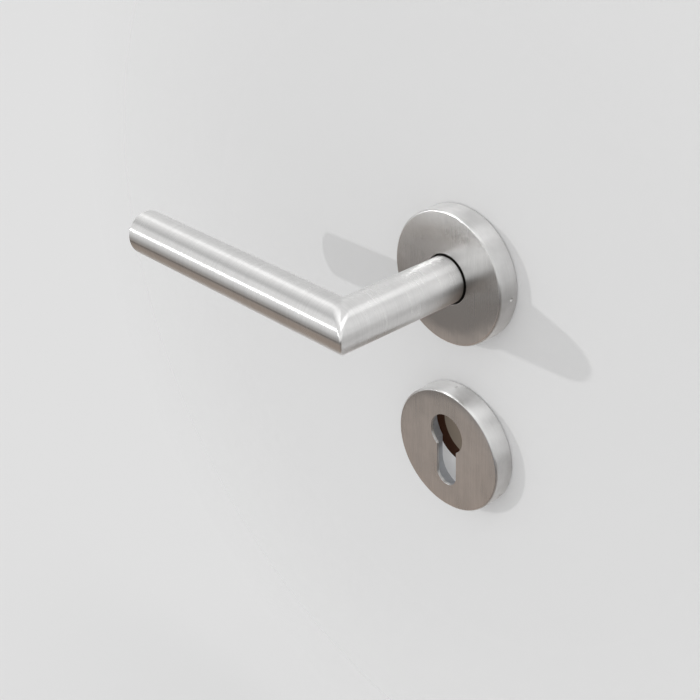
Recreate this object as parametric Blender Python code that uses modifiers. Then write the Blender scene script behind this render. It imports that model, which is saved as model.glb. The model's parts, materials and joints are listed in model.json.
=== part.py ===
"""Door lever handle on a round rose, with its matching escutcheon for a euro-profile cylinder.

The world: the door's face is the plane Y = 0, +Y goes into the door and +Z is up. The origin
is where the spindle's axis meets the door's face, and the grip points to -X.

Every piece is drawn face-on, as on a drawing of the closed door: local X to the right, local Y
up and local Z straight out of the door. Two empties turn those drawings into the world, one at
the lever's pivot and one at the middle of the escutcheon.
"""

import math

import bmesh
import bpy
from mathutils import Matrix, Vector

MM = 0.001

# Fits
GAP = 0.3 * MM  # between pieces that touch or run on each other
SWEEP = 1.0 * MM  # how far a cutter runs past the face that it opens
BITE = 0.7 * MM  # how far a joined shape runs into its neighbour

# The round covers of the rose and of the escutcheon
COVER_RADIUS = 27.5 * MM
COVER_HEIGHT = 9.2 * MM
COVER_WALL = 1.2 * MM
COVER_EDGE = 1.0 * MM  # rounding of the front edge
NECK_HOLE_RADIUS = 10.3 * MM
DIMPLE_RADIUS = 1.0 * MM
DIMPLE_DEPTH = 0.4 * MM
DIMPLE_HEIGHT = 3.2 * MM
DIMPLES = 3
ROSE_DIMPLE_ANGLE = math.radians(-3)
ESCUTCHEON_DIMPLE_ANGLE = math.radians(90)

# The lever's tube
TUBE_RADIUS = 9.5 * MM
TUBE_WALL = 1.5 * MM
GRIP_REACH = 124.0 * MM  # from the spindle's axis to the end of the grip
GRIP_HEIGHT = 62.0 * MM  # from the door's face to the grip's axis
NECK_END = 7.8 * MM
CAP_THICKNESS = 1.6 * MM
CAP_EDGE = 0.5 * MM
CAP_SPIGOT = 4.0 * MM
MITRE_BLOCK = 80.0 * MM  # side of the cube that cuts the elbow's mitre

# The hub in the neck, and the square spindle in the hub
HUB_RADIUS = TUBE_RADIUS - TUBE_WALL - GAP
HUB_BOTTOM = -1.6 * MM
HUB_TOP = 36.0 * MM
HUB_FLAT = 7.0 * MM  # from the axis to each of the two flats that drive the plate
SPINDLE_SIDE = 8.0 * MM
SPINDLE_LENGTH = 100.0 * MM
SPINDLE_TOP = 32.0 * MM
SPINDLE_EDGE = 0.5 * MM
GRUB_RADIUS = 3.0 * MM
GRUB_HEIGHT = 24.0 * MM
GRUB_TIP = SPINDLE_SIDE / 2 + GAP
GRUB_HEAD = TUBE_RADIUS - 0.4 * MM
GRUB_KEY = 1.75 * MM  # corner radius of the key's hexagon
GRUB_KEY_DEPTH = 2.4 * MM

# The clip and the washer behind the base
CLIP_BOTTOM = 0.1 * MM
CLIP_THICKNESS = 0.9 * MM
CLIP_RING = 2.0 * MM
CLIP_MOUTH = 6.0 * MM
CLIP_EYE_RADIUS = 0.5 * MM
CLIP_EYE_INSET = 0.7 * MM  # from the mouth's side to the middle of the eye
GROOVE_RADIUS = 6.9 * MM
WASHER_RADIUS = 10.6 * MM
WASHER_THICKNESS = 0.5 * MM

# The moulded bases under the covers
BASE_RADIUS = 25.6 * MM
BASE_FLOOR = 2.4 * MM
RIM_WALL = 1.8 * MM
RIM_HEIGHT = 7.6 * MM
RECESS_RADIUS = 11.0 * MM
RECESS_DEPTH = 2.1 * MM
BEARING_TOP = 4.9 * MM
BEARING_RADIUS = 11.5 * MM
BUSH_WALL = 1.5 * MM
BUSH_FLANGE = 0.8 * MM
BUSH_FLANGE_RADIUS = 11.4 * MM

# The plate on the hub that winds the spring, and its two stops
TURN = math.radians(45)
PLATE_RADIUS = 11.4 * MM
PLATE_THICKNESS = 1.2 * MM
ARM_REACH = 18.6 * MM
ARM_HALF = 2.0 * MM
STOP_GAP = 0.4 * MM
STOP_WIDTH = 3.0 * MM
STOP_NEAR = 15.9 * MM
STOP_FAR = 20.0 * MM
STOP_TOP = 7.4 * MM

# The return spring
WIRE_RADIUS = 0.75 * MM
COIL_RADIUS = 13.9 * MM
COIL_PITCH = 1.6 * MM
COIL_START = math.radians(-22)
COIL_TURN_POINTS = 24
TAIL_RADIUS = 17.0 * MM
ANCHOR_SIDE = 2.0 * MM
ANCHOR_TOP = 4.1 * MM

# The bolts through the door, two to each base, and their sleeve nuts
BOLT_SPACING = 38.0 * MM
BOLT_RADIUS = 2.0 * MM
BOLT_END = -38.0 * MM
BOLT_HEAD_RADIUS = 3.6 * MM
BOLT_HEAD_HEIGHT = 2.2 * MM
BOLT_CROWN_RADIUS = 2.9 * MM  # the head narrows to this at its top
BOLT_CROWN_HEIGHT = 1.0 * MM
BOLT_KEY = 1.5 * MM
BOLT_KEY_DEPTH = 1.3 * MM
BOSS_RADIUS = 4.0 * MM
BOSS_TOP = 4.0 * MM
PEG_RADIUS = 3.9 * MM
PEG_END = -10.0 * MM
SLEEVE_RADIUS = 3.5 * MM
SLEEVE_START = -17.0 * MM
SLEEVE_END = -42.0 * MM
SLEEVE_HEAD_RADIUS = 4.8 * MM
SLEEVE_HEAD_HEIGHT = 1.5 * MM
SLEEVE_SLOT = 1.2 * MM
SLEEVE_SLOT_DEPTH = 0.8 * MM
SLEEVE_FLOOR = 1.5 * MM

# The euro profile, and how far below the spindle it lies
CYLINDER_DROP = 70.0 * MM
PROFILE_RADIUS = 8.75 * MM
PROFILE_HALF = 5.3 * MM
PROFILE_HEIGHT = 33.5 * MM
PROFILE_RELIEF = 5.75 * MM  # how much wider the base's opening is than the cover's
COLLAR_WALL = 1.5 * MM  # of the base, around its opening
COLLAR_TOP = 7.2 * MM
ESCUTCHEON_DROP = CYLINDER_DROP - PROFILE_RADIUS + PROFILE_HEIGHT / 2

# How finely round shapes are drawn: steps in a full turn
ROUND = 48
MEDIUM_ROUND = 24
SMALL_ROUND = 20
TINY_ROUND = 12
HEXAGON = 6
BALL_RINGS = 8
BOW_STEPS = 30
FOOT_STEPS = 12
WIRE_RESOLUTION = 2
MERGE = 0.01 * MM
SHARP = math.radians(35)

# Colour, roughness and metallic value of each finish
LOOKS = {
    "satin_steel": ((0.80, 0.78, 0.76), 0.30, 1.0),
    "plain_steel": ((0.50, 0.50, 0.50), 0.38, 1.0),
    "zinc_plated": ((0.62, 0.63, 0.65), 0.32, 1.0),
    "spring_steel": ((0.16, 0.15, 0.14), 0.35, 1.0),
    "grey_nylon": ((0.42, 0.43, 0.44), 0.55, 0.0),
    "white_nylon": ((0.80, 0.79, 0.76), 0.45, 0.0),
}


# ---------------------------------------------------------------- building blocks


def clear_scene():
    for obj in list(bpy.data.objects):
        bpy.data.objects.remove(obj)


def new_collection(name):
    made = bpy.data.collections.new(name)
    bpy.context.scene.collection.children.link(made)
    return made


def drawing_frame(name, drop=0.0):
    """An empty that turns face-on drawings into the world, `drop` below the spindle."""
    empty = bpy.data.objects.new(name, None)
    empty.rotation_euler = (math.pi / 2, 0, 0)
    empty.location = (0, 0, -drop)
    empty.empty_display_size = COVER_RADIUS
    PARTS.objects.link(empty)
    return empty


def own_material(obj, look):
    colour, roughness, metallic = LOOKS[look]
    material = bpy.data.materials.new(f"{obj.name}_{look}")
    material.use_nodes = True
    shader = material.node_tree.nodes["Principled BSDF"]
    shader.inputs["Base Color"].default_value = (*colour, 1)
    shader.inputs["Roughness"].default_value = roughness
    shader.inputs["Metallic"].default_value = metallic
    obj.data.materials.append(material)


def put(name, mesh, frame, look, location=(0, 0, 0), rotation=(0, 0, 0)):
    """A piece when it has a look, and otherwise a hidden cutter or joined shape."""
    obj = bpy.data.objects.new(name, mesh)
    obj.parent = frame
    obj.location = location
    obj.rotation_euler = rotation
    if look:
        PARTS.objects.link(obj)
        own_material(obj, look)
    else:
        HELPERS.objects.link(obj)
        obj.hide_render = True
        obj.display_type = "WIRE"
    return obj


def mesh_from(bm, name):
    mesh = bpy.data.meshes.new(name)
    bm.to_mesh(mesh)
    bm.free()
    mesh.shade_smooth()
    mesh.set_sharp_from_angle(angle=SHARP)
    return mesh


def block(name, low, high, frame, look=None, turn=0.0):
    """A box between two corners, turned about the frame's Z."""
    size = Vector(high) - Vector(low)
    middle = (Vector(high) + Vector(low)) / 2
    bm = bmesh.new()
    bmesh.ops.create_cube(bm, size=1, matrix=Matrix.Diagonal((*size, 1)))
    place = Matrix.Rotation(turn, 3, "Z") @ middle
    return put(name, mesh_from(bm, name), frame, look, place, (0, 0, turn))


def cylinder(name, radius, low, high, frame, look=None, at=(0, 0), segments=ROUND):
    """A cylinder along Z between two heights."""
    bm = bmesh.new()
    bmesh.ops.create_cone(
        bm, cap_ends=True, segments=segments, radius1=radius, radius2=radius, depth=high - low
    )
    return put(name, mesh_from(bm, name), frame, look, (*at, (low + high) / 2))


def turned(name, outline, frame, look=None, location=(0, 0, 0), rotation=(0, 0, 0), steps=ROUND):
    """A turned piece. The outline holds (radius, height), down its outer side; one that starts
    and ends on the axis is solid, and any other is closed into a ring."""
    points = [(radius, 0, height) for radius, height in outline]
    edges = [(i, i + 1) for i in range(len(points) - 1)]
    if outline[0][0] > 0:
        edges.append((len(points) - 1, 0))
    mesh = bpy.data.meshes.new(name)
    mesh.from_pydata(points, edges, [])
    obj = put(name, mesh, frame, look, location, rotation)
    screw = obj.modifiers.new("turn", "SCREW")
    screw.steps = screw.render_steps = steps
    screw.use_merge_vertices = True
    screw.merge_threshold = MERGE
    screw.use_smooth_shade = True
    return obj


def ring(name, outer, inner, low, high, frame, look=None, **where):
    outline = [(inner, high), (outer, high), (outer, low), (inner, low)]
    return turned(name, outline, frame, look, **where)


def combine(obj, other, operation):
    modifier = obj.modifiers.new(f"{operation.lower()}_{other.name}"[:60], "BOOLEAN")
    modifier.operation = operation
    modifier.object = other
    modifier.solver = "EXACT"


def cut(obj, *cutters):
    for cutter in cutters:
        combine(obj, cutter, "DIFFERENCE")


def join(obj, *others):
    for other in others:
        combine(obj, other, "UNION")


def round_edges(obj, width, segments=1):
    bevel = obj.modifiers.new("edges", "BEVEL")
    bevel.width = width
    bevel.segments = segments
    bevel.limit_method = "ANGLE"


# ---------------------------------------------------------------- covers


def cover_outline(hole_radius):
    """A pressed cup, open towards the door, with a rounded front edge."""
    edge = [
        (
            COVER_RADIUS - COVER_EDGE * (1 - math.sin(angle)),
            COVER_HEIGHT - COVER_EDGE * (1 - math.cos(angle)),
        )
        for angle in (math.radians(a) for a in (0, 30, 60, 90))
    ]
    inside = COVER_RADIUS - COVER_WALL
    back = COVER_HEIGHT - COVER_WALL
    outline = [(hole_radius, COVER_HEIGHT), *edge, (COVER_RADIUS, 0), (inside, 0)]
    return [*outline, (inside, back), (hole_radius, back)]


def crimp(cover, frame, first_angle):
    """The small dents round the side wall that hold the cover on its base."""
    centre = COVER_RADIUS + DIMPLE_RADIUS - DIMPLE_DEPTH
    for index in range(DIMPLES):
        angle = first_angle + index * math.tau / DIMPLES
        bm = bmesh.new()
        bmesh.ops.create_uvsphere(
            bm, u_segments=TINY_ROUND, v_segments=BALL_RINGS, radius=DIMPLE_RADIUS
        )
        name = f"{cover.name}_dimple_{index + 1}"
        place = (centre * math.cos(angle), centre * math.sin(angle), DIMPLE_HEIGHT)
        cut(cover, put(name, mesh_from(bm, name), frame, None, place))


def rose_cover(frame):
    cover = turned("rose_cover", cover_outline(NECK_HOLE_RADIUS), frame, "satin_steel")
    crimp(cover, frame, ROSE_DIMPLE_ANGLE)


def arc(centre, radius, first, last, steps):
    """Points along a round stretch of an outline, both ends included."""
    angles = (first + (last - first) * step / steps for step in range(steps + 1))
    return [(centre[0] + radius * math.cos(a), centre[1] + radius * math.sin(a)) for a in angles]


def flat(name, outline, low, high, frame, look=None):
    """A flat outline given thickness, as a mesh, so that it can cut and be cut."""
    curve = bpy.data.curves.new(name, "CURVE")
    curve.dimensions = "2D"
    curve.fill_mode = "BOTH"
    curve.extrude = (high - low) / 2
    spline = curve.splines.new("POLY")
    spline.points.add(len(outline) - 1)
    for point, place in zip(spline.points, outline):
        point.co = (*place, 0, 1)
    spline.use_cyclic_u = True
    drawn = bpy.data.objects.new(f"{name}_outline", curve)
    HELPERS.objects.link(drawn)
    bpy.context.view_layer.update()
    graph = bpy.context.evaluated_depsgraph_get()
    bm = bmesh.new()
    bm.from_mesh(bpy.data.meshes.new_from_object(drawn.evaluated_get(graph)))
    bmesh.ops.remove_doubles(bm, verts=bm.verts, dist=MERGE)
    bpy.data.objects.remove(drawn)
    return put(name, mesh_from(bm, name), frame, look, (0, 0, (low + high) / 2))


def euro_profile(name, grow, low, high, frame):
    """The euro profile, grown all round: a round bow above a straight web with a round foot."""
    bow = (0, ESCUTCHEON_DROP - CYLINDER_DROP)
    foot = (0, PROFILE_HALF - PROFILE_HEIGHT / 2)
    radius = PROFILE_RADIUS + grow
    half = PROFILE_HALF + grow
    shoulder = math.acos(half / radius)
    outline = arc(bow, radius, -shoulder, math.pi + shoulder, BOW_STEPS)
    outline += arc(foot, half, math.pi, math.tau, FOOT_STEPS)
    return flat(name, outline, low, high, frame)


def escutcheon_cover(frame):
    cover = turned("escutcheon_cover", cover_outline(0), frame, "satin_steel")
    low = COVER_HEIGHT - COVER_WALL - SWEEP
    cut(cover, euro_profile("cover_profile", 0, low, COVER_HEIGHT + SWEEP, frame))
    crimp(cover, frame, ESCUTCHEON_DIMPLE_ANGLE)


# ---------------------------------------------------------------- lever


def mitre(tube, side, frame):
    """Cuts a tube at 45 degrees through the elbow, on the grip's (+1) or the neck's (-1) side."""
    bm = bmesh.new()
    bmesh.ops.create_cube(bm, size=MITRE_BLOCK)
    offset = side * (MITRE_BLOCK - GAP) / 2 / math.sqrt(2)
    place = (-offset, 0, GRIP_HEIGHT + offset)
    name = f"{tube.name}_mitre"
    cut(tube, put(name, mesh_from(bm, name), frame, None, place, (0, math.pi / 4, 0)))


def grub_hole(name, frame):
    """The hole up into the neck from below, for the grub screw."""
    hole = cylinder(name, GRUB_RADIUS + GAP, 0, TUBE_RADIUS + SWEEP, frame, segments=SMALL_ROUND)
    hole.location = (0, -(TUBE_RADIUS + SWEEP) / 2, GRUB_HEIGHT)
    hole.rotation_euler = (math.pi / 2, 0, 0)
    return hole


def neck_tube(frame):
    inner = TUBE_RADIUS - TUBE_WALL
    top = GRIP_HEIGHT + TUBE_RADIUS + 2 * SWEEP
    tube = ring("neck_tube", TUBE_RADIUS, inner, NECK_END, top, frame, "satin_steel")
    mitre(tube, 1, frame)
    cut(tube, grub_hole("neck_grub_hole", frame))


def along_grip(height=0.0):
    """Place and turn of a piece that is drawn along the grip, from its axis towards its end."""
    return {"location": (-height, 0, GRIP_HEIGHT), "rotation": (0, -math.pi / 2, 0)}


def grip_tube(frame):
    inner = TUBE_RADIUS - TUBE_WALL
    low = -TUBE_RADIUS - 2 * SWEEP
    high = GRIP_REACH - CAP_THICKNESS - GAP
    tube = ring("grip_tube", TUBE_RADIUS, inner, low, high, frame, "satin_steel", **along_grip())
    mitre(tube, -1, frame)


def grip_end_cap(frame):
    spigot = TUBE_RADIUS - TUBE_WALL - GAP
    outline = [
        (0, CAP_THICKNESS),
        (TUBE_RADIUS - CAP_EDGE, CAP_THICKNESS),
        (TUBE_RADIUS, CAP_THICKNESS - CAP_EDGE),
        (TUBE_RADIUS, 0),
        (spigot, 0),
        (spigot, -CAP_SPIGOT),
        (0, -CAP_SPIGOT),
    ]
    turned("grip_end_cap", outline, frame, "satin_steel", **along_grip(GRIP_REACH - CAP_THICKNESS))


def lever_hub(frame):
    """The steel plug in the neck: square socket, journal, driving flats and clip groove."""
    groove_low = CLIP_BOTTOM - GAP
    groove_high = CLIP_BOTTOM + CLIP_THICKNESS + GAP
    outline = [
        (0, HUB_TOP),
        (HUB_RADIUS, HUB_TOP),
        (HUB_RADIUS, groove_high),
        (GROOVE_RADIUS, groove_high),
        (GROOVE_RADIUS, groove_low),
        (HUB_RADIUS, groove_low),
        (HUB_RADIUS, HUB_BOTTOM),
        (0, HUB_BOTTOM),
    ]
    hub = turned("lever_hub", outline, frame, "plain_steel")
    half = SPINDLE_SIDE / 2 + GAP
    socket = block(
        "hub_socket", (-half, -half, HUB_BOTTOM - SWEEP), (half, half, SPINDLE_TOP + GAP), frame
    )
    cut(hub, socket, grub_hole("hub_grub_hole", frame))
    reach = HUB_RADIUS + SWEEP
    low, high = HUB_BOTTOM - SWEEP, NECK_END - GAP
    for side, name in ((-1, "hub_flat_left"), (1, "hub_flat_right")):
        near, far = sorted((side * HUB_FLAT, side * reach))
        cut(hub, block(name, (near, -reach, low), (far, reach, high), frame))


def square_spindle(frame):
    half = SPINDLE_SIDE / 2
    low = SPINDLE_TOP - SPINDLE_LENGTH
    spindle = block(
        "square_spindle", (-half, -half, low), (half, half, SPINDLE_TOP), frame, "zinc_plated"
    )
    round_edges(spindle, SPINDLE_EDGE)


def grub_screw(frame):
    key_low, key_high = GRUB_HEAD - GRUB_KEY_DEPTH, GRUB_HEAD + SWEEP
    screw = cylinder(
        "grub_screw", GRUB_RADIUS, GRUB_TIP, GRUB_HEAD, frame, "plain_steel", segments=SMALL_ROUND
    )
    key = cylinder("grub_key", GRUB_KEY, key_low, key_high, frame, segments=HEXAGON)
    for obj, middle in ((screw, (GRUB_TIP + GRUB_HEAD) / 2), (key, (key_low + key_high) / 2)):
        obj.location = (0, -middle, GRUB_HEIGHT)
        obj.rotation_euler = (math.pi / 2, 0, 0)
    cut(screw, key)


def thrust_washer(frame):
    low = CLIP_BOTTOM + CLIP_THICKNESS + GAP
    high = low + WASHER_THICKNESS
    ring("thrust_washer", WASHER_RADIUS, HUB_RADIUS + GAP, low, high, frame, "zinc_plated")


def retaining_clip(frame):
    """An open ring in the hub's groove, with a mouth at the bottom and an eye at each end."""
    low, high = CLIP_BOTTOM, CLIP_BOTTOM + CLIP_THICKNESS
    inner = GROOVE_RADIUS + GAP
    outer = inner + CLIP_RING
    clip = ring("retaining_clip", outer, inner, low, high, frame, "spring_steel")
    mouth = block(
        "clip_mouth",
        (-CLIP_MOUTH / 2, -outer - SWEEP, low - SWEEP),
        (CLIP_MOUTH / 2, 0, high + SWEEP),
        frame,
    )
    cut(clip, mouth)
    middle = (inner + outer) / 2
    eye_x = CLIP_MOUTH / 2 + CLIP_EYE_INSET
    eye_y = -math.sqrt(middle**2 - eye_x**2)
    for side, name in ((-1, "left"), (1, "right")):
        eye = cylinder(
            f"clip_eye_{name}",
            CLIP_EYE_RADIUS,
            low - SWEEP,
            high + SWEEP,
            frame,
            at=(side * eye_x, eye_y),
            segments=TINY_ROUND,
        )
        cut(clip, eye)


def driver_plate(frame):
    """The plate that the hub's flats turn; its arm winds the spring and meets the stops."""
    low = NECK_END - GAP - PLATE_THICKNESS
    high = NECK_END - GAP
    plate = cylinder("driver_plate", PLATE_RADIUS, low, high, frame, "spring_steel")
    arm = block(
        "driver_arm", (-ARM_HALF, -ARM_REACH, low), (ARM_HALF, -PLATE_RADIUS + BITE, high), frame
    )
    hole = cylinder("driver_hole", HUB_RADIUS + GAP, low - SWEEP, high + SWEEP, frame)
    half = HUB_FLAT + GAP
    flats = block(
        "driver_hole_flats",
        (-half, -PLATE_RADIUS, low - 2 * SWEEP),
        (half, PLATE_RADIUS, high + 2 * SWEEP),
        frame,
    )
    combine(hole, flats, "INTERSECT")
    join(plate, arm)
    cut(plate, hole)


# ---------------------------------------------------------------- bases, bush, spring


def rim_outline():
    """The outside of both bases, from the floor out over the rim and down to the door."""
    inside = BASE_RADIUS - RIM_WALL
    return [(inside, BASE_FLOOR), (inside, RIM_HEIGHT), (BASE_RADIUS, RIM_HEIGHT), (BASE_RADIUS, 0)]


def bolt_places():
    return (("left", -BOLT_SPACING / 2), ("right", BOLT_SPACING / 2))


def bolt_bosses(base, prefix, frame):
    """A boss in front and a peg into the lock case for each bolt, with the bolt's hole."""
    holes = []
    for side, x in bolt_places():
        name = f"{prefix}_{side}"
        boss = cylinder(
            f"{name}_boss", BOSS_RADIUS, BITE, BOSS_TOP, frame, at=(x, 0), segments=MEDIUM_ROUND
        )
        peg_top = BASE_FLOOR - BITE
        peg = cylinder(
            f"{name}_peg", PEG_RADIUS, PEG_END, peg_top, frame, at=(x, 0), segments=MEDIUM_ROUND
        )
        low, high = PEG_END - SWEEP, BOSS_TOP + SWEEP
        hole = cylinder(
            f"{name}_hole", BOLT_RADIUS + GAP, low, high, frame, at=(x, 0), segments=SMALL_ROUND
        )
        join(base, boss, peg)
        holes.append(hole)
    cut(base, *holes)


def stop_post(name, side, turn, frame):
    """A post beside the arm, on its left (-1) or its right (+1), with the arm turned by `turn`."""
    near = ARM_HALF + STOP_GAP
    x_low, x_high = sorted((side * near, side * (near + STOP_WIDTH)))
    low = (x_low, -STOP_FAR, BITE)
    return block(name, low, (x_high, -STOP_NEAR, STOP_TOP), frame, turn=turn)


def anchor_post(frame):
    """The post that the spring's tail pushes against."""
    angle = COIL_START + (WIRE_RADIUS + GAP + ANCHOR_SIDE / 2) / TAIL_RADIUS
    half = ANCHOR_SIDE / 2
    low = (TAIL_RADIUS - ANCHOR_SIDE, -half, BITE)
    return block("spring_anchor", low, (TAIL_RADIUS, half, ANCHOR_TOP), frame, turn=angle)


def rose_base(frame):
    bore = HUB_RADIUS + GAP + BUSH_WALL + GAP
    outline = [
        (bore, BEARING_TOP),
        (BEARING_RADIUS, BEARING_TOP),
        (BEARING_RADIUS, BASE_FLOOR),
        *rim_outline(),
        (RECESS_RADIUS, 0),
        (RECESS_RADIUS, RECESS_DEPTH),
        (bore, RECESS_DEPTH),
    ]
    base = turned("rose_base", outline, frame, "grey_nylon")
    join(
        base,
        stop_post("stop_at_rest", -1, 0, frame),
        stop_post("stop_pressed", 1, TURN, frame),
        anchor_post(frame),
    )
    bolt_bosses(base, "rose_bolt", frame)


def bearing_bush(frame):
    inner = HUB_RADIUS + GAP
    outer = inner + BUSH_WALL
    top = BEARING_TOP + GAP + BUSH_FLANGE
    outline = [
        (inner, top),
        (BUSH_FLANGE_RADIUS, top),
        (BUSH_FLANGE_RADIUS, top - BUSH_FLANGE),
        (outer, top - BUSH_FLANGE),
        (outer, RECESS_DEPTH),
        (inner, RECESS_DEPTH),
    ]
    turned("bearing_bush", outline, frame, "white_nylon")


def coil_route():
    """The tail pushes on its anchor, and the coil rises from it round to the driver's arm."""
    first = BASE_FLOOR + GAP + WIRE_RADIUS
    arm_side = -math.pi / 2 - (ARM_HALF + GAP) / COIL_RADIUS
    swept = arm_side + 2 * math.tau - COIL_START
    steps = math.ceil(swept / math.tau * COIL_TURN_POINTS)
    tail = (TAIL_RADIUS * math.cos(COIL_START), TAIL_RADIUS * math.sin(COIL_START), first)
    route = [tail]
    for step in range(steps + 1):
        share = step / steps
        angle = COIL_START + swept * share
        height = first + COIL_PITCH * swept / math.tau * share
        route.append((COIL_RADIUS * math.cos(angle), COIL_RADIUS * math.sin(angle), height))
    return route


def return_spring(frame):
    curve = bpy.data.curves.new("return_spring", "CURVE")
    curve.dimensions = "3D"
    curve.bevel_depth = WIRE_RADIUS
    curve.bevel_resolution = WIRE_RESOLUTION
    curve.use_fill_caps = True
    route = coil_route()
    spline = curve.splines.new("POLY")
    spline.points.add(len(route) - 1)
    for point, place in zip(spline.points, route):
        point.co = (*place, 1)
    put("return_spring", curve, frame, "spring_steel")


def escutcheon_base(frame):
    outline = [(0, BASE_FLOOR), *rim_outline(), (0, 0)]
    base = turned("escutcheon_base", outline, frame, "grey_nylon")
    join(base, euro_profile("collar", PROFILE_RELIEF + COLLAR_WALL, BITE, COLLAR_TOP, frame))
    bolt_bosses(base, "escutcheon_bolt", frame)
    cut(base, euro_profile("base_opening", PROFILE_RELIEF, -SWEEP, RIM_HEIGHT + SWEEP, frame))


# ---------------------------------------------------------------- fixings


def bolt(name, x, frame):
    seat = BOSS_TOP + GAP
    top = seat + BOLT_HEAD_HEIGHT
    outline = [
        (0, top),
        (BOLT_CROWN_RADIUS, top),
        (BOLT_HEAD_RADIUS, top - BOLT_CROWN_HEIGHT),
        (BOLT_HEAD_RADIUS, seat),
        (BOLT_RADIUS, seat),
        (BOLT_RADIUS, BOLT_END),
        (0, BOLT_END),
    ]
    made = turned(name, outline, frame, "zinc_plated", location=(x, 0, 0), steps=SMALL_ROUND)
    low, high = top - BOLT_KEY_DEPTH, top + SWEEP
    key = cylinder(f"{name}_key", BOLT_KEY, low, high, frame, at=(x, 0), segments=HEXAGON)
    cut(made, key)


def sleeve_nut(name, x, frame):
    """The sleeve that the bolt screws into from the other face of the door."""
    bore = BOLT_RADIUS + GAP
    end = SLEEVE_END - SLEEVE_HEAD_HEIGHT
    outline = [
        (0, SLEEVE_END + SLEEVE_FLOOR),
        (bore, SLEEVE_END + SLEEVE_FLOOR),
        (bore, SLEEVE_START),
        (SLEEVE_RADIUS, SLEEVE_START),
        (SLEEVE_RADIUS, SLEEVE_END),
        (SLEEVE_HEAD_RADIUS, SLEEVE_END),
        (SLEEVE_HEAD_RADIUS, end),
        (0, end),
    ]
    nut = turned(name, outline, frame, "zinc_plated", location=(x, 0, 0), steps=SMALL_ROUND)
    half = SLEEVE_SLOT / 2
    reach = SLEEVE_HEAD_RADIUS + SWEEP
    slot = block(
        f"{name}_slot",
        (x - half, -reach, end - SWEEP),
        (x + half, reach, end + SLEEVE_SLOT_DEPTH),
        frame,
    )
    cut(nut, slot)


def fixings(prefix, frame):
    for side, x in bolt_places():
        bolt(f"{prefix}_bolt_{side}", x, frame)
        sleeve_nut(f"{prefix}_sleeve_nut_{side}", x, frame)


# ---------------------------------------------------------------- the whole


def build_lever(frame):
    grip_tube(frame)
    grip_end_cap(frame)
    neck_tube(frame)
    lever_hub(frame)
    grub_screw(frame)
    square_spindle(frame)
    driver_plate(frame)
    thrust_washer(frame)
    retaining_clip(frame)


def build_rose(frame):
    rose_cover(frame)
    rose_base(frame)
    bearing_bush(frame)
    return_spring(frame)
    fixings("rose", frame)


def build_escutcheon(frame):
    escutcheon_cover(frame)
    escutcheon_base(frame)
    fixings("escutcheon", frame)


clear_scene()
PARTS = new_collection("door_lever_handle")
HELPERS = new_collection("cutters")
pivot = drawing_frame("lever_pivot")
build_lever(pivot)
build_rose(pivot)
build_escutcheon(drawing_frame("escutcheon_centre", ESCUTCHEON_DROP))
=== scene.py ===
"""The looks of the door lever handle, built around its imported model.

The frame: the door's face is the plane Y = 0, +Y goes into the door and +Z is up. The spindle's
axis on the door's face is the origin, and the grip points to -X. All lengths are in metres.
"""

import json
import math

import bmesh
import bpy
from mathutils import Euler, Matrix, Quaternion, Vector
from mathutils.kdtree import KDTree

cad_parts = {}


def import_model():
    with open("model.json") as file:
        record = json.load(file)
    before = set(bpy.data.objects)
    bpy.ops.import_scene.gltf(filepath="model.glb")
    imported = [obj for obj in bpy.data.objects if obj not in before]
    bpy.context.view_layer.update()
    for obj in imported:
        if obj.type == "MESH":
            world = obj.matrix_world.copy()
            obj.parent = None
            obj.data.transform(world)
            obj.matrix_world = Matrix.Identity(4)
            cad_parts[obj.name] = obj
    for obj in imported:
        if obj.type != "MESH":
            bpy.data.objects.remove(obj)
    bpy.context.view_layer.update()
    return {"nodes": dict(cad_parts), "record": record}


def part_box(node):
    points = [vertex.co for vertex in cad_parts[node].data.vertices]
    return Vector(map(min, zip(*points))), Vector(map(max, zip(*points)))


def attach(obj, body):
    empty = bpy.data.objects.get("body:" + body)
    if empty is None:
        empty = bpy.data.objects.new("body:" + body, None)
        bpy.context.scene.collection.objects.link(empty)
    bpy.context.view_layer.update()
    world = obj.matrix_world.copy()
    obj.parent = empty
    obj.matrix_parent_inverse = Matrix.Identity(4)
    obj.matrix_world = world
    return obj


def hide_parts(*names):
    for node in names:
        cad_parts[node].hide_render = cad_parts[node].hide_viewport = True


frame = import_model()

MM = 0.001

# ---------------------------------------------------------------- sizes, from the frame

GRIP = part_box("grip_tube")
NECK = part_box("neck_tube")
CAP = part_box("grip_end_cap")
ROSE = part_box("rose_cover")
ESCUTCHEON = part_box("escutcheon_cover")

TUBE_RADIUS = (NECK[1].x - NECK[0].x) / 2
TUBE_WALL = 1.5 * MM
GRIP_AXIS_Y = (GRIP[0].y + GRIP[1].y) / 2
NECK_END_Y = NECK[1].y
GRIP_END_X = CAP[0].x
CAP_SEAM_X = GRIP[0].x
COVER_RADIUS = (ROSE[1].x - ROSE[0].x) / 2
COVER_HEIGHT = -ROSE[0].y
ROSE_Z = (ROSE[0].z + ROSE[1].z) / 2
ESCUTCHEON_Z = (ESCUTCHEON[0].z + ESCUTCHEON[1].z) / 2

COVER_WALL = 1.2 * MM
COVER_EDGE = 1.0 * MM
COVER_BACK_EDGE = 0.2 * MM
NECK_HOLE_RADIUS = 10.3 * MM
PROFILE_RADIUS = 8.75 * MM
PROFILE_HALF = 5.3 * MM
PROFILE_HEIGHT = 33.5 * MM
CUT_EDGE = 0.08 * MM  # rounding of the covers' cut-outs
# extra rings that keep the shading of the flat faces even
ROSE_FACE_RINGS = (10.5 * MM, 14 * MM, 20 * MM)
PROFILE_RINGS = (0.1 * MM, 1.0 * MM)  # out from the cut-out
ESCUTCHEON_FACE_RING = 22 * MM
SIDE_WALL = 0.9  # a face that turns further than this from the front belongs to the side wall

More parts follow.
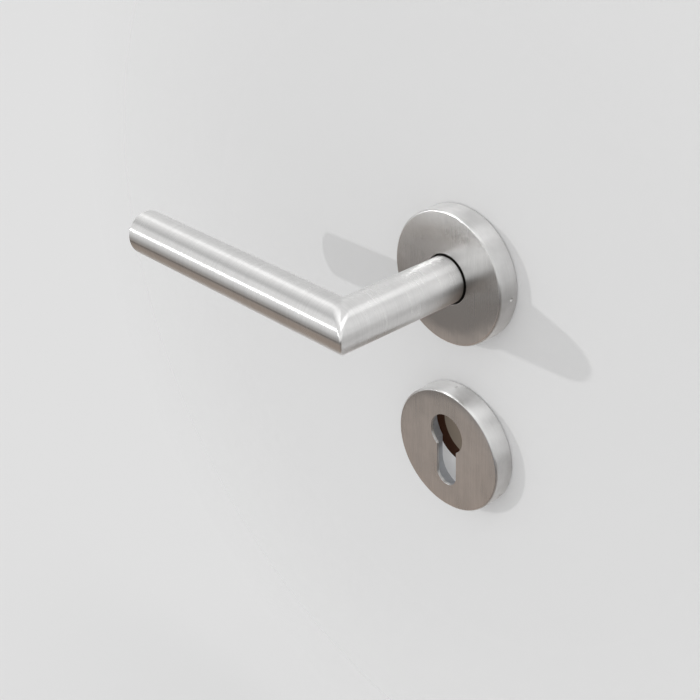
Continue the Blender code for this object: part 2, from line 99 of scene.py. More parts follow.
DIMPLES = 3
DIMPLE_RADIUS = 1.0 * MM
DIMPLE_DEPTH = 0.4 * MM
DIMPLE_HEIGHT = 3.2 * MM
ROSE_DIMPLE_ANGLE = math.radians(-3)
ESCUTCHEON_DIMPLE_ANGLE = math.radians(90)

WELD_EDGE = 0.7 * MM  # rounding of the elbow's outer ridge
WELD_BLEND = 3.4 * MM  # how much rounder it is between the ridge and the crown
NECK_PAINTED_SHADE_Y = -COVER_HEIGHT - 0.45 * MM  # the neck is painted near black from here into the rose, as painted shade in the gap round it
NECK_PAINTED_SHADE_STRETCH = (-20 * MM, -8 * MM)  # the stretch of the neck that is painted darker towards the rose, as painted shade
GRUB_Y = -24.0 * MM
GRUB_HOLE_RADIUS = 3.3 * MM

CAP_SPIGOT_GAP = 0.3 * MM  # between the cap's spigot and the tube
CAP_SEAM = 0.02 * MM
SEAM_EDGE = 0.04 * MM
CAP_RIM = 0.7 * MM
CAP_DOME = 0.12 * MM
RING_SHARES = (0.75, 0.5, 0.25)  # where a long or wide surface gets rings in between

BOLT_RADIUS = 2.0 * MM
BOLT_HEAD_RADIUS = 3.6 * MM
BOLT_HEAD_HEIGHT = 2.2 * MM
BOLT_CROWN = ((0.8 * MM, 0), (0.4 * MM, 0.3 * MM), (0, 1.0 * MM))  # in from the rim, and down
BOLT_SEAT_EDGE = 0.1 * MM
BOLT_KEY = 1.5 * MM
BOLT_KEY_DEPTH = 1.3 * MM
THREAD_START = 1.0 * MM  # behind the door's face
THREAD_PITCH = 0.7 * MM
THREAD_DEPTH = 0.38 * MM
THREAD_AROUND = 24
THREAD_STEPS = 6  # rings in one turn of the thread

AROUND = 192  # points in a ring
SHARP = math.radians(40)
TOUCHING = 1e-6
ALONG_X, ALONG_Y = (1, 0, 0), (0, 1, 0)
SHEET_CORNERS = ((-1, -1), (1, -1), (1, 1), (-1, 1))


# ---------------------------------------------------------------- meshes


def arc(centre, radius, first, last, steps):
    """Points along a round stretch, both ends included, with angles in degrees."""
    angles = (math.radians(first + (last - first) * i / steps) for i in range(steps + 1))
    return [(centre[0] + radius * math.cos(a), centre[1] + radius * math.sin(a)) for a in angles]


def piece(name, mesh):
    """A new object in the scene."""
    obj = bpy.data.objects.new(name, mesh)
    bpy.context.scene.collection.objects.link(obj)
    return obj


def finished(bm, name):
    """The mesh of what was built, shaded smooth with its sharp edges kept."""
    mesh = bpy.data.meshes.new(name)
    bm.to_mesh(mesh)
    bm.free()
    mesh.shade_smooth()
    mesh.set_sharp_from_angle(angle=SHARP)
    return mesh


def loft(name, rings, closed=False):
    """A surface through rings with the same number of points. `closed` joins the last ring to
    the first; a ring of one point closes the surface there."""
    bm = bmesh.new()
    rows = [[bm.verts.new(point) for point in ring] for ring in rings]
    pairs = list(zip(rows, rows[1:])) + ([(rows[-1], rows[0])] if closed else [])
    for one, two in pairs:
        for i in range(max(len(one), len(two))):
            corners = [one[i % len(one)], one[(i + 1) % len(one)]]
            corners += [two[(i + 1) % len(two)], two[i % len(two)]]
            bm.faces.new(list(dict.fromkeys(corners)))
    bmesh.ops.recalc_face_normals(bm, faces=bm.faces)
    return piece(name, finished(bm, name))


def circle_ring(radius, height, centre=(0, 0), count=AROUND):
    """A ring round an axis along Y, `height` out from the door."""
    angles = (math.tau * i / count for i in range(count))
    x, z = centre
    return [(x + radius * math.cos(a), -height, z + radius * math.sin(a)) for a in angles]


def cut(obj, cutter):
    """Cuts one mesh from another for good, and removes the cutter."""
    modifier = obj.modifiers.new("cut", "BOOLEAN")
    modifier.operation = "DIFFERENCE"
    modifier.solver = "EXACT"
    modifier.object = cutter
    bpy.context.view_layer.update()
    graph = bpy.context.evaluated_depsgraph_get()
    mesh = bpy.data.meshes.new_from_object(obj.evaluated_get(graph))
    obj.modifiers.clear()
    obj.data = mesh
    obj.data.set_sharp_from_angle(angle=SHARP)
    bpy.data.objects.remove(cutter)


def ball(radius, centre):
    """A ball to cut with."""
    bm = bmesh.new()
    bmesh.ops.create_uvsphere(bm, u_segments=32, v_segments=24, radius=radius)
    obj = piece("ball", finished(bm, "ball"))
    obj.location = centre
    return obj


def rod(radius, length, centre, turn=(0, 0, 0), segments=48):
    """A round or many-sided rod to cut with, along Z until it is turned."""
    bm = bmesh.new()
    bmesh.ops.create_cone(
        bm, cap_ends=True, segments=segments, radius1=radius, radius2=radius, depth=length
    )
    obj = piece("rod", finished(bm, "rod"))
    obj.location = centre
    obj.rotation_euler = turn
    return obj


def finish_piece(obj, body, node, slot, *materials):
    """Ties a piece to its body, hides the node that it stands for and gives it its materials.
    The slot that names its finish is not used.
    """
    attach(obj, body)
    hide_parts(node)
    obj.data.materials.clear()
    for material in materials:
        obj.data.materials.append(material)
    return obj


# ---------------------------------------------------------------- covers


def cover_section():
    """The cover's section from the front face's edge round to the open back, and inside again."""
    front = arc((COVER_RADIUS - COVER_EDGE, COVER_HEIGHT - COVER_EDGE), COVER_EDGE, 90, 0, 10)
    foot = arc((COVER_RADIUS - COVER_BACK_EDGE, COVER_BACK_EDGE), COVER_BACK_EDGE, 0, -90, 3)
    inside = COVER_RADIUS - COVER_WALL
    return [*front, *foot, (inside, 0), (inside, COVER_HEIGHT - COVER_WALL)]


def cut_edge(radius):
    """The rounded edge of an opening in a cover, from the inside out to the front face."""
    return arc((radius + CUT_EDGE, COVER_HEIGHT - CUT_EDGE), CUT_EDGE, 180, 90, 3)


def crimp(cover, centre_z, first_angle):
    """The small dents round the side wall that hold the cover on its base."""
    radius = COVER_RADIUS + DIMPLE_RADIUS - DIMPLE_DEPTH
    for index in range(DIMPLES):
        angle = first_angle + index * math.tau / DIMPLES
        centre = (radius * math.cos(angle), -DIMPLE_HEIGHT, centre_z + radius * math.sin(angle))
        cut(cover, ball(DIMPLE_RADIUS, centre))


def split_finish(cover):
    """Gives the side wall the second material, and leaves the face the first."""
    for polygon in cover.data.polygons:
        polygon.material_index = int(abs(polygon.normal.y) < SIDE_WALL)


def rose_cover():
    """The rose's cover, with the round hole for the neck."""
    section = [(NECK_HOLE_RADIUS, COVER_HEIGHT - COVER_WALL), *cut_edge(NECK_HOLE_RADIUS)]
    section += [(radius, COVER_HEIGHT) for radius in ROSE_FACE_RINGS]
    section += cover_section()
    rings = [circle_ring(radius, height, (0, ROSE_Z)) for radius, height in section]
    cover = loft("rose_cover_skin", rings, closed=True)
    crimp(cover, ROSE_Z, ROSE_DIMPLE_ANGLE)
    finish_piece(cover, "rose_cover", "rose_cover", "satin_steel", STEEL["face"], STEEL["rim"])
    split_finish(cover)


def profile_reach(angle, grow):
    """How far the euro profile reaches from the escutcheon's middle in one direction."""
    bow_y = PROFILE_HEIGHT / 2 - PROFILE_RADIUS
    foot_y = PROFILE_HALF - PROFILE_HEIGHT / 2
    radius, half = PROFILE_RADIUS + grow, PROFILE_HALF + grow
    along, up = math.cos(angle), math.sin(angle)
    bow = bow_y * up + math.sqrt(radius**2 - (bow_y * along) ** 2)
    side = half / abs(along) if abs(along) > TOUCHING else math.inf
    if side * up < foot_y:
        side = foot_y * up + math.sqrt(half**2 - (foot_y * along) ** 2)
    if side * up > bow_y:
        side = 0
    return max(bow, side)


def profile_angles():
    """Directions round the escutcheon, with two of them exactly on the profile's shoulders."""
    bow_y = PROFILE_HEIGHT / 2 - PROFILE_RADIUS
    shoulder = math.atan2(bow_y - math.sqrt(PROFILE_RADIUS**2 - PROFILE_HALF**2), PROFILE_HALF)
    angles = [math.tau * i / AROUND for i in range(AROUND)]
    for corner in (shoulder % math.tau, math.pi - shoulder):
        nearest = min(range(AROUND), key=lambda i: abs(angles[i] - corner))
        angles[nearest] = corner
    return angles


def escutcheon_cover():
    """The escutcheon's cover, with the euro-profile cut-out."""
    angles = profile_angles()

    def ring(reach, height):
        return [
            (reach(a) * math.cos(a), -height, ESCUTCHEON_Z + reach(a) * math.sin(a)) for a in angles
        ]

    rings = [ring(lambda a: profile_reach(a, 0), COVER_HEIGHT - COVER_WALL)]
    for grow, height in cut_edge(0):
        rings.append(ring(lambda a, g=grow: profile_reach(a, g), height))
    for grow in PROFILE_RINGS:
        rings.append(ring(lambda a, g=grow: profile_reach(a, g), COVER_HEIGHT))
    for radius, height in [(ESCUTCHEON_FACE_RING, COVER_HEIGHT), *cover_section()]:
        rings.append(ring(lambda a, r=radius: r, height))
    cover = loft("escutcheon_cover_skin", rings, closed=True)
    crimp(cover, ESCUTCHEON_Z, ESCUTCHEON_DIMPLE_ANGLE)
    finish_piece(
        cover, "escutcheon_cover", "escutcheon_cover", "satin_steel", STEEL["face"], STEEL["rim"]
    )
    split_finish(cover)


# ---------------------------------------------------------------- lever


def weld_rounding(angle):
    """Rounding of the elbow at an angle round the tube, which is 0 on its outer ridge and 90
    degrees on its crown. The ridge and the inner corner are crisp, and the crown is softer."""
    if angle < 0 or angle > math.radians(120):
        return WELD_EDGE
    return WELD_EDGE + WELD_BLEND * math.sin(1.5 * angle) ** 2


def bend_rings(radius, rounding):
    """Rings round the elbow from the grip's side to the neck's; the middle one is the mitre."""
    rings = []
    for turned in range(0, 91, 5):
        t = math.radians(turned - 90)
        ring = []
        for i in range(AROUND):
            angle = math.tau * i / AROUND
            signed = angle if angle < math.pi else angle - math.tau
            out, r = radius * math.cos(angle), rounding(signed)
            x = out - r + r * math.cos(t)
            y = GRIP_AXIS_Y - out + r + r * math.sin(t)
            ring.append((x, y, radius * math.sin(angle)))
        rings.append(ring)
    return rings


def straight_ring(radius, part, place):
    """A ring of the grip at an X or of the neck at a Y, in step with the elbow's rings."""
    ring = []
    for i in range(AROUND):
        angle = math.tau * i / AROUND
        out, up = radius * math.cos(angle), radius * math.sin(angle)
        ring.append((place, GRIP_AXIS_Y - out, up) if part == "grip" else (out, place, up))
    return ring


def mitre_normals(mesh, ring):
    """Gives both tubes the same normals along the mitre, so that the ground weld looks whole."""
    places = [Vector(point) for point in ring]
    tree = KDTree(len(places))
    for index, place in enumerate(places):
        tree.insert(place, index)
    tree.balance()
    normals = [Vector((0, 0, 0))] * len(mesh.loops)
    through = Vector((1, 1, 0)).normalized()
    for polygon in mesh.polygons:
        in_mitre_plane = abs(polygon.normal.dot(through)) > 0.99
        if in_mitre_plane:
            continue
        for index in polygon.loop_indices:
            co = mesh.vertices[mesh.loops[index].vertex_index].co
            _, nearest, distance = tree.find(co)
            if distance < TOUCHING:
                along = places[(nearest + 1) % len(places)] - places[nearest - 1]
                normals[index] = through.cross(along).normalized()
    mesh.normals_split_custom_set(normals)


def lever_tube(part):
    """The grip or the neck: a thin tube, mitred at the elbow, with the ground weld's rounding. The
    neck is drilled for the grub screw. Inside the rose the neck is painted near black, as
    painted shade."""
    inner = TUBE_RADIUS - TUBE_WALL
    outer_bend = bend_rings(TUBE_RADIUS, weld_rounding)
    inner_bend = bend_rings(inner, lambda angle: WELD_EDGE)
    middle = len(outer_bend) // 2
    if part == "grip":
        start = CAP_SEAM_X
        outside = [straight_ring(TUBE_RADIUS - SEAM_EDGE, part, start)]
        outside += [straight_ring(TUBE_RADIUS, part, start + SEAM_EDGE)]
        outside += [straight_ring(TUBE_RADIUS, part, start * share) for share in RING_SHARES]
        outside += outer_bend[: middle + 1]
        inside = [*reversed(inner_bend[: middle + 1]), straight_ring(inner, part, start)]
    else:
        outside = [*outer_bend[middle:]]
        places = (NECK_PAINTED_SHADE_Y - COVER_HEIGHT, NECK_PAINTED_SHADE_Y, NECK_END_Y)
        outside += [straight_ring(TUBE_RADIUS, part, place) for place in places]
        inside = [straight_ring(inner, part, NECK_END_Y), *reversed(inner_bend[middle:])]
    tube = loft(f"{part}_tube_skin", [*outside, *inside], closed=True)
    if part == "neck":
        cut(tube, rod(GRUB_HOLE_RADIUS, TUBE_RADIUS, (0, GRUB_Y, -TUBE_RADIUS)))
    mitre_normals(tube.data, outer_bend[middle])
    finish_piece(tube, "lever", f"{part}_tube", "satin_steel", STEEL[part], STEEL["dark"])
    # the neck's second material, near black inside the rose, is painted shade
    for polygon in tube.data.polygons:
        polygon.material_index = int(part == "neck" and polygon.center.y > NECK_PAINTED_SHADE_Y)


def end_cap():
    """The cap: a hairline seam against the tube, a rounded rim and a face that is barely domed."""
    spigot = TUBE_RADIUS - TUBE_WALL - CAP_SPIGOT_GAP
    seam = CAP_SEAM_X - CAP_SEAM
    section = [(spigot, CAP[1].x), (spigot, seam), (TUBE_RADIUS - SEAM_EDGE, seam)]
    section += [(TUBE_RADIUS, seam - SEAM_EDGE)]
    face = GRIP_END_X + CAP_DOME
    section += [
        (radius, face + CAP_RIM - fall)
        for radius, fall in arc((TUBE_RADIUS - CAP_RIM, 0), CAP_RIM, 0, 90, 8)
    ]
    for share in RING_SHARES:
        section.append(((TUBE_RADIUS - CAP_RIM) * share, face - CAP_DOME * (1 - share**2)))
    rings = [[(CAP[1].x, GRIP_AXIS_Y, 0)]]
    rings += [straight_ring(radius, "grip", x) for radius, x in section]
    rings += [[(GRIP_END_X, GRIP_AXIS_Y, 0)]]
    cap = loft("grip_end_cap_skin", rings)
    finish_piece(cap, "lever", "grip_end_cap", "satin_steel", STEEL["grip"])


# ---------------------------------------------------------------- bolts


def bolt(node):
    """A socket-head bolt with a cut thread."""
    low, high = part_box(node)
    centre = (low.x + high.x) / 2, (low.z + high.z) / 2
    top = -low.y
    seat = top - BOLT_HEAD_HEIGHT
    section = [(BOLT_HEAD_RADIUS - inward, top - down) for inward, down in BOLT_CROWN]
    section += [
        (BOLT_HEAD_RADIUS, seat + BOLT_SEAT_EDGE),
        (BOLT_HEAD_RADIUS - BOLT_SEAT_EDGE, seat),
        (BOLT_RADIUS, seat),
    ]
    rings = [[(centre[0], low.y, centre[1])]]
    rings += [circle_ring(radius, height, centre, THREAD_AROUND) for radius, height in section]
    length = high.y - THREAD_START
    steps = int(length / THREAD_PITCH * THREAD_STEPS)
    for step in range(steps + 1):
        height = -THREAD_START - length * step / steps
        fade = min(1, step / THREAD_STEPS)  # the thread runs out over its first turn
        ring = []
        for i in range(THREAD_AROUND):
            phase = (height / THREAD_PITCH + i / THREAD_AROUND) % 1
            radius = BOLT_RADIUS - THREAD_DEPTH * fade * abs(2 * phase - 1)
            angle = math.tau * i / THREAD_AROUND
            x, z = centre[0] + radius * math.cos(angle), centre[1] + radius * math.sin(angle)
            ring.append((x, -height, z))
        rings.append(ring)
    rings.append([(centre[0], high.y, centre[1])])
    made = loft(f"{node}_threaded", rings)
    head_centre = (centre[0], low.y, centre[1])
    across_door = (math.pi / 2, 0, 0)
    cut(made, rod(BOLT_KEY, 2 * BOLT_KEY_DEPTH, head_centre, across_door, segments=6))
    finish_piece(made, "root", node, "zinc_plated", FINISHES["zinc_plated"])


def bolts():
    """The four bolts."""
    for base in ("rose", "escutcheon"):
        for side in ("left", "right"):
            bolt(f"{base}_bolt_{side}")


# ---------------------------------------------------------------- materials


class Nodes:
    """A short way to write a node tree."""

    def __init__(self, tree):
        self.tree = tree

    def add(self, kind, **settings):
        """A new node with its settings."""
        node = self.tree.nodes.new(kind)
        for key, value in settings.items():
            setattr(node, key, value)
        return node

    def link(self, out, into):
        self.tree.links.new(out, into)

    def feed(self, value, socket):
        """Links a node's output, or sets a plain number or colour."""
        if isinstance(value, bpy.types.NodeSocket):
            self.link(value, socket)
        elif isinstance(value, tuple):
            socket.default_value = (*value, 1)[: len(socket.default_value)]
        else:
            socket.default_value = value

    def spread(self, value, low, high, out_low, out_high):
        """A value between two limits moved to between two others."""
        node = self.add("ShaderNodeMapRange")
        limits = {"From Min": low, "From Max": high, "To Min": out_low, "To Max": out_high}
        for name, limit in limits.items():
            node.inputs[name].default_value = limit
        self.link(value, node.inputs["Value"])
        return node.outputs["Result"]

    def maths(self, operation, *values):
        node = self.add("ShaderNodeMath", operation=operation)
        for value, socket in zip(values, node.inputs):
            self.feed(value, socket)
        return node.outputs[0]

    def vector_maths(self, operation, one, two):
        node = self.add("ShaderNodeVectorMath", operation=operation)
        self.feed(one, node.inputs[0])
        self.feed(two, node.inputs["Scale" if operation == "SCALE" else 1])
        return node.outputs["Value" if operation == "DISTANCE" else 0]

    def product(self, first, *others):
        for other in others:
            first = self.maths("MULTIPLY", first, other)
        return first

    def tint(self, fac, one, two):
        node = self.add("ShaderNodeMix", data_type="RGBA")
        self.feed(one, node.inputs["A"])
        self.feed(two, node.inputs["B"])
        self.link(fac, node.inputs["Factor"])
        return node.outputs["Result"]


class Finish(Nodes):
    """A material's nodes, with its colour going into one surface shader."""

    def __init__(self, name):
        self.material = bpy.data.materials.new(name)
        self.material.use_nodes = True
        super().__init__(self.material.node_tree)
        self.shader = self.tree.nodes["Principled BSDF"]
        self.place = self.add("ShaderNodeTexCoord").outputs["Object"]

    def noise(self, scale, stretch=(1, 1, 1), detail=4.0, shift=0.0):
        """Noise of about one feature per 1 / scale metres, squeezed along the stretched axes."""
        mapping = self.add("ShaderNodeMapping")
        mapping.inputs["Scale"].default_value = stretch
        mapping.inputs["Location"].default_value = (shift, shift, shift)
        self.link(self.place, mapping.inputs["Vector"])
        noise = self.add("ShaderNodeTexNoise")
        noise.inputs["Scale"].default_value = scale
        noise.inputs["Detail"].default_value = detail
        noise.inputs["Roughness"].default_value = 0.6
        self.link(mapping.outputs["Vector"], noise.inputs["Vector"])
        return noise.outputs["Fac"]

    def blend(self, *parts):
        """A weighted sum of (weight, value) pairs."""
        total = 0.0
        for weight, value in parts:
            total = self.maths("ADD", total, self.maths("MULTIPLY", value, weight))
        return total

    def bump(self, height, distance, under=None):
        node = self.add("ShaderNodeBump")
        node.inputs["Distance"].default_value = distance
        self.link(height, node.inputs["Height"])
        if under:
            self.link(under, node.inputs["Normal"])
        return node.outputs["Normal"]

    def body_direction(self, direction):
        """A direction that turns with the object."""
        vector = self.add("ShaderNodeCombineXYZ")
        for socket, value in zip(vector.inputs, direction):
            socket.default_value = value
        turn = self.add("ShaderNodeVectorTransform", vector_type="VECTOR")
        turn.convert_from, turn.convert_to = "OBJECT", "WORLD"
        self.link(vector.outputs[0], turn.inputs[0])
        return turn.outputs[0]


BRUSH_LINES = (5200, 1300)  # fine and coarse brush lines in a metre
BRUSH_BREAKS = 60  # breaks in a metre of a line
WAVE_HEIGHT = 40e-6  # waves in the metal under the brush lines
BRUSH_DEPTH = 3e-6
GRAIN_DEPTH = 12e-6  # grain of the moulded pieces
LIGHTEST = 0.92
# lightness of the painted shade on the neck near the rose
PAINTED_SHADE_LEVEL = 0.55


def shade(level):
    """The steel's very slightly warm grey at a lightness."""
    return (level, level * 0.995, level * 0.987)


def brushed_steel(
    name, across, anisotropy=1.0, rough=(0.27, 0.31), smudge=0.3, dark=0.80, painted_shade=None
):
    """Satin stainless steel. `across` is the direction square to its fine brush lines: the lines
    spread reflections that way, and hardly at all along themselves. The last argument is the
    stretch along Y over which it is painted darker, as painted shade."""
    made = Finish(name)
    lines = [
        made.noise(1, tuple(per_metre if a else BRUSH_BREAKS for a in across), 5)
        for per_metre in BRUSH_LINES
    ]
    cloud = made.noise(70, detail=4, shift=2.0)
    waves = made.noise(130, detail=1, shift=5.0)
    grain = made.blend((0.6, lines[0]), (0.4, lines[1]))
    tone = made.blend((1 - smudge, grain), (smudge, cloud))
    colour = made.tint(made.spread(tone, 0.38, 0.6, 0, 1), shade(dark), shade(LIGHTEST))
    # painted shade: darker along Y over the given stretch
    if painted_shade:
        split = made.add("ShaderNodeSeparateXYZ")
        made.link(made.place, split.inputs[0])
        painted_shade_share = made.spread(split.outputs["Y"], *painted_shade, 0, 1)
        colour = made.tint(painted_shade_share, colour, shade(PAINTED_SHADE_LEVEL))
    made.link(colour, made.shader.inputs["Base Color"])
    made.link(made.spread(tone, 0.6, 0.4, *rough), made.shader.inputs["Roughness"])
    wavy = made.bump(waves, WAVE_HEIGHT)
    made.link(made.bump(grain, BRUSH_DEPTH, wavy), made.shader.inputs["Normal"])
    made.link(made.body_direction(across), made.shader.inputs["Tangent"])
    made.shader.inputs["Metallic"].default_value = 1.0
    made.shader.inputs["Anisotropic"].default_value = anisotropy
    return made.material


def metal(name, colour, rough, stretch=(900, 900, 900), marks_depth=5e-6):
    """Plain or plated metal, with faint tool marks and patchy tone."""
    made = Finish(name)
    cloud = made.noise(150)
    marks = made.noise(1, stretch)
    dark = tuple(c * 0.84 for c in colour)
    tone = made.tint(made.spread(cloud, 0.3, 0.7, 0, 1), dark, colour)
    made.link(tone, made.shader.inputs["Base Color"])
    worn = made.spread(marks, 0.3, 0.7, rough - 0.08, rough + 0.1)
    made.link(worn, made.shader.inputs["Roughness"])
    made.link(made.bump(marks, marks_depth), made.shader.inputs["Normal"])
    made.shader.inputs["Metallic"].default_value = 1.0
    return made.material


def plastic(name, colour, rough=0.5):
    """Moulded nylon: slightly cloudy, with a fine spark-eroded grain."""
    made = Finish(name)
    cloud = made.noise(90, detail=3)
    pores = made.noise(4200, detail=2)
    dark = tuple(c * 0.86 for c in colour)
    tone = made.tint(made.spread(cloud, 0.35, 0.65, 0, 1), dark, colour)
    made.link(tone, made.shader.inputs["Base Color"])
    patchy = made.spread(cloud, 0.3, 0.7, rough - 0.08, rough + 0.08)
    made.link(patchy, made.shader.inputs["Roughness"])
    made.link(made.bump(pores, GRAIN_DEPTH), made.shader.inputs["Normal"])
    return made.material


STEEL = {
    "grip": brushed_steel("satin_grip", ALONG_X),
    "neck": brushed_steel("satin_neck", ALONG_Y, painted_shade=NECK_PAINTED_SHADE_STRETCH),
    "face": brushed_steel("satin_face", ALONG_X, 0.95, (0.22, 0.28), 0.45),
    "rim": brushed_steel("satin_rim", ALONG_Y, 1.0, (0.37, 0.44), 0.7, 0.80),
    # painted shade: the near-black steel of the neck inside the rose
    "dark": metal("painted_shade_steel", (0.05, 0.046, 0.042), 0.55, (60, 2600, 60), 1e-6),
}
FINISHES = {
    "plain_steel": metal("drawn_steel", (0.56, 0.555, 0.545), 0.32, (3500, 60, 3500), 1e-6),
    "zinc_plated": metal("zinc_plate", (0.66, 0.675, 0.70), 0.30, (2600, 2600, 2600), 1e-6),
    "spring_steel": metal("black_steel", (0.055, 0.052, 0.05), 0.36, (2600, 2600, 2600), 1e-6),
    "grey_nylon": plastic("grey_nylon", (0.58, 0.595, 0.62)),
    "white_nylon": plastic("white_nylon", (0.80, 0.79, 0.76), 0.42),
}


def dress_nodes():
    """Gives the kept CAD nodes the finish that their slots name."""
    slots = {part["node"]: part["material_slot"] for part in frame["record"]["subparts"]}
    for name, obj in frame["nodes"].items():
        if slots[name] in FINISHES:
            obj.data.materials.clear()
            obj.data.materials.append(FINISHES[slots[name]])


# ---------------------------------------------------------------- stage

PALE = (0.72, 0.72, 0.72)
BRIGHT = (0.84, 0.84, 0.84)
MIRRORED = (  # what the metal mirrors, by the angle round X: 0 is straight out, 90 straight up
    (-100, BRIGHT),
    (-86, (0.345, 0.29, 0.25)),
    (-60, (0.345, 0.287, 0.247)),
    (-48, (0.345, 0.292, 0.258)),
    (-42, (0.325, 0.278, 0.245)),
    (-37, (0.335, 0.30, 0.275)),
    (-28, (0.37, 0.365, 0.36)),
    (-19, (0.41, 0.41, 0.41)),
    (-9, (0.72, 0.72, 0.72)),
    (0, (0.81, 0.81, 0.81)),
    (40, (0.82, 0.82, 0.82)),
    (48, (0.64, 0.64, 0.64)),
    (56, (0.42, 0.42, 0.42)),
    (64, (0.47, 0.47, 0.47)),
    (80, (0.72, 0.72, 0.72)),
    (90, BRIGHT),
)
# the world's parts, by the X and Z of a direction of length 1
BAND_Z = -0.457  # a dim band
BAND_HALF = (0.02, 0.042)  # half its width, without and with its soft edge
BAND_LEVEL = 0.42
LOW_RIGHT_X, LOW_RIGHT_Z = (-0.3, 0.1), (0.05, -0.3)
LOW_RIGHT_DIM = -0.45
HIGH_RIGHT_X, HIGH_RIGHT_Z = (-0.55, -0.3), (0.15, 0.35)
HIGH_RIGHT_LEVEL = 0.9

DOOR_COLOUR, DOOR_GLOW = (0.73, 0.73, 0.73), (0.04, 0.04, 0.04)
# painted light and shade: a glow on the door seen through the cut-out, and the bore's wall near
# black
SEEN_THROUGH_GLOW = (0.2, 0.2, 0.2)
BORE_WALL_PAINTED_SHADE, BORE_WALL_GLOW = (0.036, 0.020, 0.013), (0.012, 0.004, 0.002)
BORE_END, BORE_END_GLOW = (0.20, 0.17, 0.135), (0.06, 0.049, 0.04)
FLOOR_COLOUR, FLOOR_GLOW = (0.68, 0.68, 0.68), (0.07, 0.07, 0.07)

BACKDROP_Y = 0.4 * MM
BACKDROP_HALF = 0.45
FADE_CENTRE = (-20 * MM, 0, -40 * MM)
FADE = (0.14, 0.26)  # distances between which the backdrop fades out
BORE_CENTRE = (0, 0, -73.5 * MM)
BORE_BOTTOM = (4.6 * MM, 0, -69.2 * MM)  # where the bore's bottom shows; the rest of the bore is its wall, in painted shade
BORE_RADIUS = 14.9 * MM
LIT_CENTRE = (-3 * MM, 0, -79 * MM)  # the part of the door that shows through the cut-out, given a painted glow
LIT_RADIUS = 21 * MM
UNSEEN_RADIUS = 24 * MM  # door that the rose and the escutcheon hide
FLOOR_Z = -0.32
FLOOR_HALF = 3.0

LIGHTS = (  # name, direction, width in degrees and strength
    ("window", (-0.59, -0.79, 0.215), 1.2, 0.50),
    ("ceiling", (0.33, -0.02, 0.95), 30, 0.30),
    ("upper_left", (-0.74, 0.17, 0.65), 14, 0.036),
    ("upper_right", (0.88, -0.16, 0.44), 30, 0.06),
)
CAMERA_PLACE = (0.28743, -0.30732, 0.19885)
CAMERA_ANGLES = (49.18, 28.9, -2.61)  # round from the front, down and roll, in degrees
CAMERA_SENSOR, CAMERA_LENS = 36, 61.85  # millimetres
CAMERA_NEAR = 0.01


def world():
    """A pale studio for the camera. What the metal mirrors is darker and warmer below, and darkest
    at the lower right and in a narrow band; it is bright at the upper right, and as pale as the
    door towards +Y."""
    made = bpy.data.worlds.new("studio")
    bpy.context.scene.world = made
    made.use_nodes = True
    made.node_tree.nodes.clear()
    sky = Nodes(made.node_tree)
    split = sky.add("ShaderNodeSeparateXYZ")
    sky.link(sky.add("ShaderNodeTexCoord").outputs["Generated"], split.inputs[0])
    x, y, z = split.outputs

    turned = sky.maths("ARCTAN2", z, sky.maths("MULTIPLY", y, -1.0))
    ramp = sky.add("ShaderNodeValToRGB")
    sky.link(sky.spread(turned, -math.pi, math.pi, 0, 1), ramp.inputs["Fac"])
    elements = ramp.color_ramp.elements
    while len(elements) < len(MIRRORED):
        elements.new(0.5)
    for element, (angle, colour) in zip(elements, MIRRORED):
        element.position = (angle + 180) / 360
        element.color = (*colour, 1)

    from_band = sky.maths("ABSOLUTE", sky.maths("SUBTRACT", z, BAND_Z))
    band = sky.spread(from_band, *BAND_HALF, BAND_LEVEL, 1)
    low = sky.spread(z, *LOW_RIGHT_Z, 0, 1)
    low_right = sky.product(sky.spread(x, *LOW_RIGHT_X, 0, 1), low)
    dim = sky.product(band, sky.maths("MULTIPLY_ADD", low_right, LOW_RIGHT_DIM, 1.0))
    high = sky.spread(z, *HIGH_RIGHT_Z, 0, HIGH_RIGHT_LEVEL)
    high_right = sky.product(sky.spread(x, *HIGH_RIGHT_X, 0, 1), high)
    mirrored = sky.vector_maths("SCALE", ramp.outputs["Color"], dim)
    mirrored = sky.vector_maths("MAXIMUM", mirrored, high_right)

    mix = sky.add("ShaderNodeMixShader")
    sky.link(sky.add("ShaderNodeLightPath").outputs["Is Camera Ray"], mix.inputs["Fac"])
    for socket, colour in zip(mix.inputs[1:], (mirrored, PALE)):
        background = sky.add("ShaderNodeBackground")
        sky.feed(colour, background.inputs["Color"])
        sky.link(background.outputs[0], socket)
    sky.link(mix.outputs[0], sky.add("ShaderNodeOutputWorld").inputs["Surface"])


def sheet(name, corners, finish, glossy):
    """A flat, four-cornered piece of the stage; `glossy` lets the metal mirror it."""
    bm = bmesh.new()
    bm.faces.new([bm.verts.new(corner) for corner in corners])
    obj = piece(name, finished(bm, name))
    obj.data.materials.append(finish.material)
    obj.visible_glossy = glossy


def matt(name, colour, glow):
    """A matt surface with a faint light of its own, which stands for the rest of the room."""
    made = Finish(name)
    made.feed(colour, made.shader.inputs["Base Color"])
    made.feed(glow, made.shader.inputs["Emission Color"])
    made.shader.inputs["Emission Strength"].default_value = 1
    made.shader.inputs["Roughness"].default_value = 0.9
    made.shader.inputs["Specular IOR Level"].default_value = 0.1
    return made


def floor():
    """A pale floor well below the handle."""
    corners = [(x * FLOOR_HALF, y * FLOOR_HALF, FLOOR_Z) for x, y in SHEET_CORNERS]
    sheet("floor", corners, matt("pale_floor", FLOOR_COLOUR, FLOOR_GLOW), False)


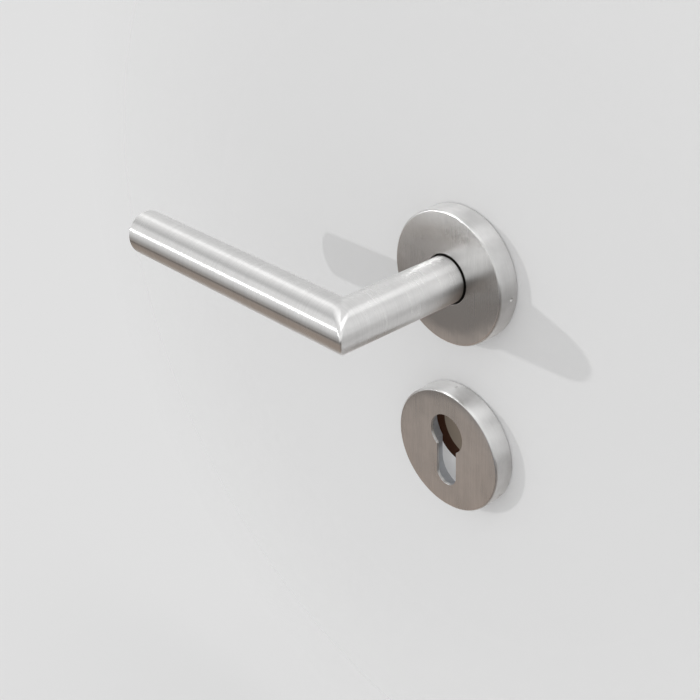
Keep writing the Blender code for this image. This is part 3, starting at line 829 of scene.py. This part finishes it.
def backdrop():
    """A pale sheet in the door's place, with the lock's bore drawn on it: its wall near black as
    painted shade, and its bottom and the door seen through the escutcheon's cut-out with a
    painted glow. It shows only from the front, fades out round the handle and is open behind the
    rose and the escutcheon, so that the handle's back stays in view and in the light."""
    made = matt("pale_backdrop", DOOR_COLOUR, DOOR_GLOW)

    def within(centre, radius):
        return made.maths("LESS_THAN", made.vector_maths("DISTANCE", made.place, centre), radius)

    bore = within(BORE_CENTRE, BORE_RADIUS)
    bottom = within(BORE_BOTTOM, BORE_RADIUS)
    lit = made.maths("MAXIMUM", bore, within(LIT_CENTRE, LIT_RADIUS))
    # painted shade on the bore's wall, and painted glow on its bottom and on the door seen through
    # the cut-out
    colour = made.tint(bottom, BORE_WALL_PAINTED_SHADE, BORE_END)
    made.link(made.tint(bore, DOOR_COLOUR, colour), made.shader.inputs["Base Color"])
    glow = made.tint(bottom, BORE_WALL_GLOW, BORE_END_GLOW)
    around = made.tint(lit, DOOR_GLOW, SEEN_THROUGH_GLOW)
    made.link(made.tint(bore, around, glow), made.shader.inputs["Emission Color"])

    far = made.vector_maths("DISTANCE", made.place, FADE_CENTRE)
    behind = made.maths("SUBTRACT", within((0, 0, ESCUTCHEON_Z), UNSEEN_RADIUS), lit)
    hide = made.add("ShaderNodeNewGeometry").outputs["Backfacing"]
    for part in (made.spread(far, *FADE, 0, 1), within((0, 0, ROSE_Z), UNSEEN_RADIUS), behind):
        hide = made.maths("MAXIMUM", hide, part)
    mix = made.add("ShaderNodeMixShader")
    made.link(hide, mix.inputs["Fac"])
    made.link(made.shader.outputs[0], mix.inputs[1])
    made.link(made.add("ShaderNodeBsdfTransparent").outputs[0], mix.inputs[2])
    made.link(mix.outputs[0], made.tree.nodes["Material Output"].inputs["Surface"])
    corners = [(x * BACKDROP_HALF, BACKDROP_Y, z * BACKDROP_HALF) for x, z in SHEET_CORNERS]
    sheet("backdrop", corners, made, True)


def far_light(name, towards, width, strength):
    """A far, soft-edged light from a direction, `width` degrees across."""
    data = bpy.data.lights.new(name, "SUN")
    data.angle = math.radians(width)
    data.energy = strength
    light = bpy.data.objects.new(name, data)
    bpy.context.scene.collection.objects.link(light)
    light.rotation_mode = "QUATERNION"
    light.rotation_quaternion = Vector(towards).to_track_quat("Z", "Y")


def camera():
    """The place and lens that the two covers' ellipses and the elbow's angle give."""
    azimuth, elevation, roll = (math.radians(angle) for angle in CAMERA_ANGLES)
    data = bpy.data.cameras.new("camera")
    data.sensor_width = CAMERA_SENSOR
    data.lens = CAMERA_LENS
    data.clip_start = CAMERA_NEAR
    obj = bpy.data.objects.new("camera", data)
    bpy.context.scene.collection.objects.link(obj)
    obj.location = CAMERA_PLACE
    level = Euler((math.pi / 2 - elevation, 0, azimuth)).to_quaternion()
    obj.rotation_mode = "QUATERNION"
    obj.rotation_quaternion = level @ Quaternion((0, 0, 1), roll)
    bpy.context.scene.camera = obj


# ---------------------------------------------------------------- the whole


bpy.context.scene.view_settings.view_transform = "Standard"
camera()
world()
floor()
backdrop()
for light in LIGHTS:
    far_light(*light)
lever_tube("grip")
lever_tube("neck")
end_cap()
rose_cover()
escutcheon_cover()
bolts()
dress_nodes()

bpy.context.view_layer.update()
